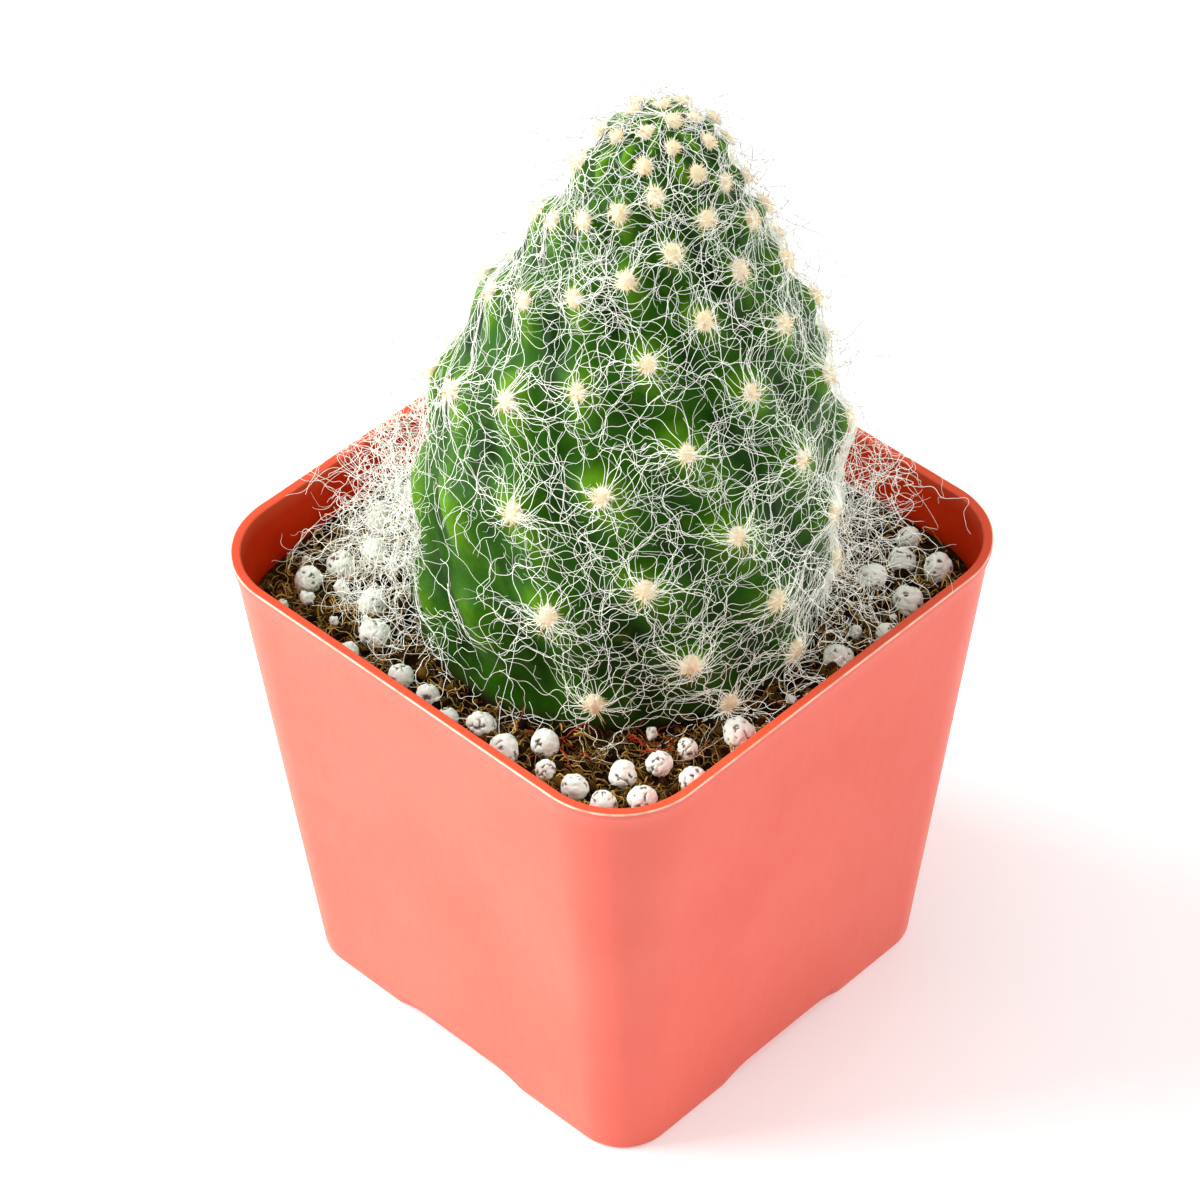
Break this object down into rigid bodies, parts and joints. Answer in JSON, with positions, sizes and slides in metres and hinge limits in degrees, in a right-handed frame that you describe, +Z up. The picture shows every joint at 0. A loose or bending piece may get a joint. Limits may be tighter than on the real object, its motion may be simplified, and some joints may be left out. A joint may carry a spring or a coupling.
{
  "type": "potted tall cactus",
  "caption": "Woolly columnar cactus with spiralling ribs, standing in soil with perlite in a square drafted nursery pot.",
  "frame": {"origin": "middle of the pot's footprint, on the surface it stands on", "axes": "+Z up along the stem; the pot's sides face +X, -X, +Y and -Y"},
  "size_m": [0.0638, 0.0638, 0.117],
  "materials": {
    "pot_plastic": "satin moulded plastic, coral red",
    "soil_peat": "loose dark peat and golden coir fibre, matte",
    "perlite": "expanded white mineral beads, matte and pitted",
    "stem_skin": "living green skin with a waxy sheen, under white wool"
  },
  "bodies": {
    "root": {"pot": "pot_plastic", "soil": "soil_peat", "stem": "stem_skin", "perlite_bead_01": "perlite", "perlite_bead_02": "perlite", "perlite_bead_03": "perlite", "perlite_bead_04": "perlite", "perlite_bead_05": "perlite", "perlite_bead_06": "perlite", "perlite_bead_07": "perlite", "perlite_bead_08": "perlite", "perlite_bead_09": "perlite", "perlite_bead_10": "perlite", "perlite_bead_11": "perlite", "perlite_bead_12": "perlite", "perlite_bead_13": "perlite", "perlite_bead_14": "perlite", "perlite_bead_15": "perlite", "perlite_bead_16": "perlite", "perlite_bead_17": "perlite", "perlite_bead_18": "perlite", "perlite_bead_19": "perlite", "perlite_bead_20": "perlite", "perlite_bead_21": "perlite", "perlite_bead_22": "perlite", "perlite_bead_23": "perlite", "perlite_bead_24": "perlite", "perlite_bead_25": "perlite", "perlite_bead_26": "perlite", "perlite_bead_27": "perlite", "perlite_bead_28": "perlite", "perlite_bead_29": "perlite", "perlite_bead_30": "perlite", "perlite_bead_31": "perlite", "perlite_bead_32": "perlite", "perlite_bead_33": "perlite", "perlite_bead_34": "perlite", "perlite_bead_35": "perlite", "perlite_bead_36": "perlite", "perlite_bead_37": "perlite", "perlite_bead_38": "perlite", "perlite_bead_39": "perlite", "perlite_bead_40": "perlite"}
  },
  "joints": []
}
